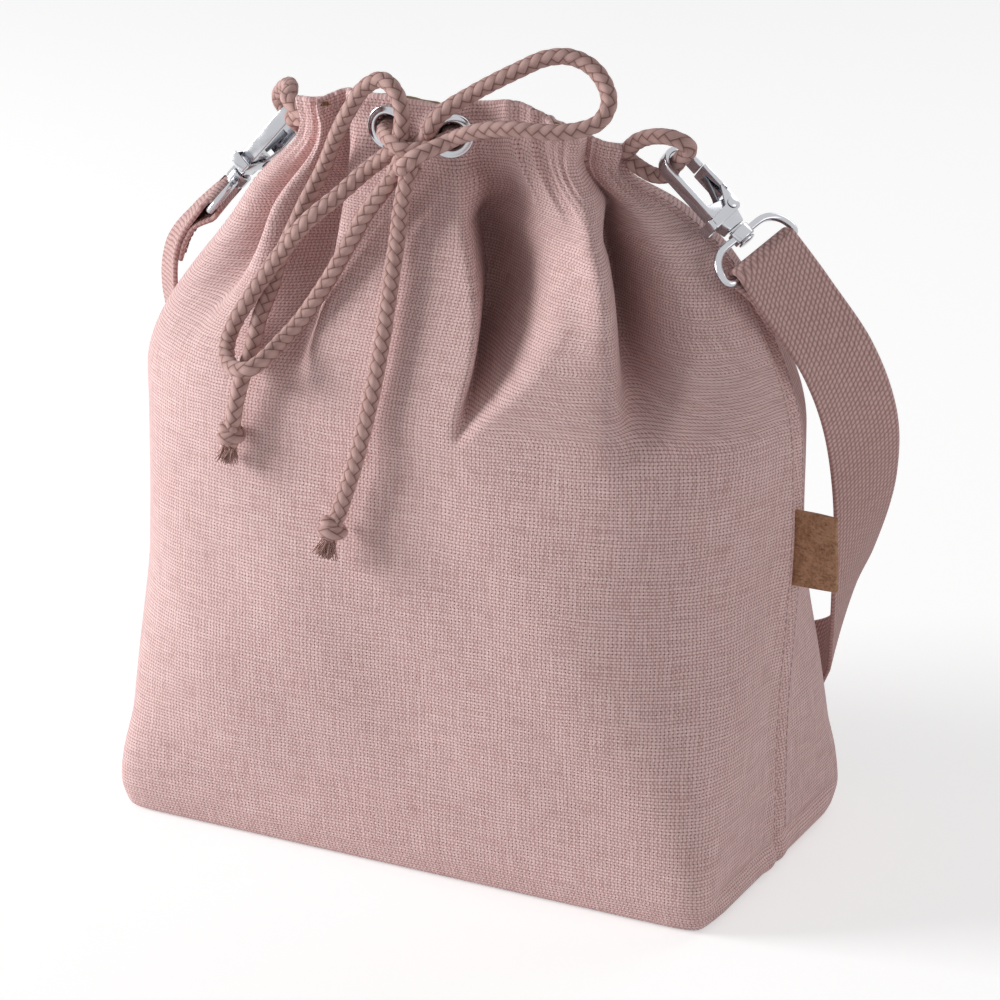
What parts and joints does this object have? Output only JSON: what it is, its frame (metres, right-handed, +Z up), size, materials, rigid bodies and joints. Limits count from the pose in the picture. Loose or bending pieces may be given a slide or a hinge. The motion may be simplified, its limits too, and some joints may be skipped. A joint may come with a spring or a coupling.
{
  "type": "insulated lunch bag",
  "caption": "Soft insulated lunch bag with a drawstring mouth tied in a bow, boxed base, foil lining and a clip-on shoulder strap.",
  "frame": {"origin": "middle of the base, on the surface that the bag stands on", "axes": "+Z up, +X along the base's long side to the right of the front face, -Y out of the front face"},
  "size_m": [0.3011, 0.1785, 0.3004],
  "materials": {
    "canvas": "plain weave canvas",
    "foam": "closed-cell foam sheet",
    "liner": "aluminised film",
    "facing": "plain hem cloth",
    "cord": "round braid",
    "webbing": "chevron webbing",
    "nickel": "polished nickel plate",
    "spring": "spring steel",
    "cork": "pressed cork on a leather backing"
  },
  "bodies": {
    "bag": {"outer_front_panel": "canvas", "outer_back_panel": "canvas", "foam_front": "foam", "foam_back": "foam", "foam_base": "foam", "liner_front": "liner", "liner_back": "liner", "channel_facing_front": "facing", "channel_facing_back": "facing", "eyelet_left": "nickel", "eyelet_washer_left": "nickel", "eyelet_right": "nickel", "eyelet_washer_right": "nickel", "drawstring_run": "cord", "bow_knot": "cord", "bow_loop_right": "cord", "bow_loop_left": "cord", "tail_short": "cord", "tail_long": "cord", "tail_short_knot": "cord", "tail_long_knot": "cord", "strap_loop_right": "cord", "strap_loop_left": "cord", "side_tag": "cork"},
    "strap": {"strap_webbing": "webbing", "swivel_ring_right": "nickel", "swivel_ring_left": "nickel"},
    "hook_right": {"hook_body_right": "nickel", "gate_rivet_right": "nickel", "gate_spring_right": "spring", "swivel_post_right": "nickel"},
    "gate_right": {"hook_gate_right": "nickel"},
    "hook_left": {"hook_body_left": "nickel", "gate_rivet_left": "nickel", "gate_spring_left": "spring", "swivel_post_left": "nickel"},
    "gate_left": {"hook_gate_left": "nickel"}
  },
  "joints": [
    {"name": "strap_swing", "type": "hinge", "parent": "bag", "child": "strap", "pos_m": [0.0779, 0, 0.2596], "axis": [0.9882, -0.1439, 0.0523], "range_deg": [0, 158], "deforming": ["strap_loop_right", "strap_loop_left"]},
    {"name": "hook_swivel_right", "type": "hinge", "parent": "strap", "child": "hook_right", "pos_m": [0.1002, 0, 0.2397], "axis": [-0.7469, 0, 0.6649], "range_deg": [-40, 40]},
    {"name": "hook_swivel_left", "type": "hinge", "parent": "strap", "child": "hook_left", "pos_m": [-0.1093, 0.0195, 0.228], "axis": [0.6316, 0.1657, 0.7574], "range_deg": [-40, 40]},
    {"name": "gate_right", "type": "hinge", "parent": "hook_right", "child": "gate_right", "pos_m": [0.09504, 0.00338, 0.24594], "axis": [0.625, -0.3414, 0.702], "range_deg": [0, 16], "stiffness_Nm_per_rad": 0.02, "springref_deg": -20.05, "deforming": ["gate_spring_right"]},
    {"name": "gate_left", "type": "hinge", "parent": "hook_left", "child": "gate_left", "pos_m": [-0.10418, 0.02433, 0.23326], "axis": [0.7755, -0.1522, -0.6128], "range_deg": [0, 16], "stiffness_Nm_per_rad": 0.02, "springref_deg": -20.05, "deforming": ["gate_spring_left"]}
  ]
}
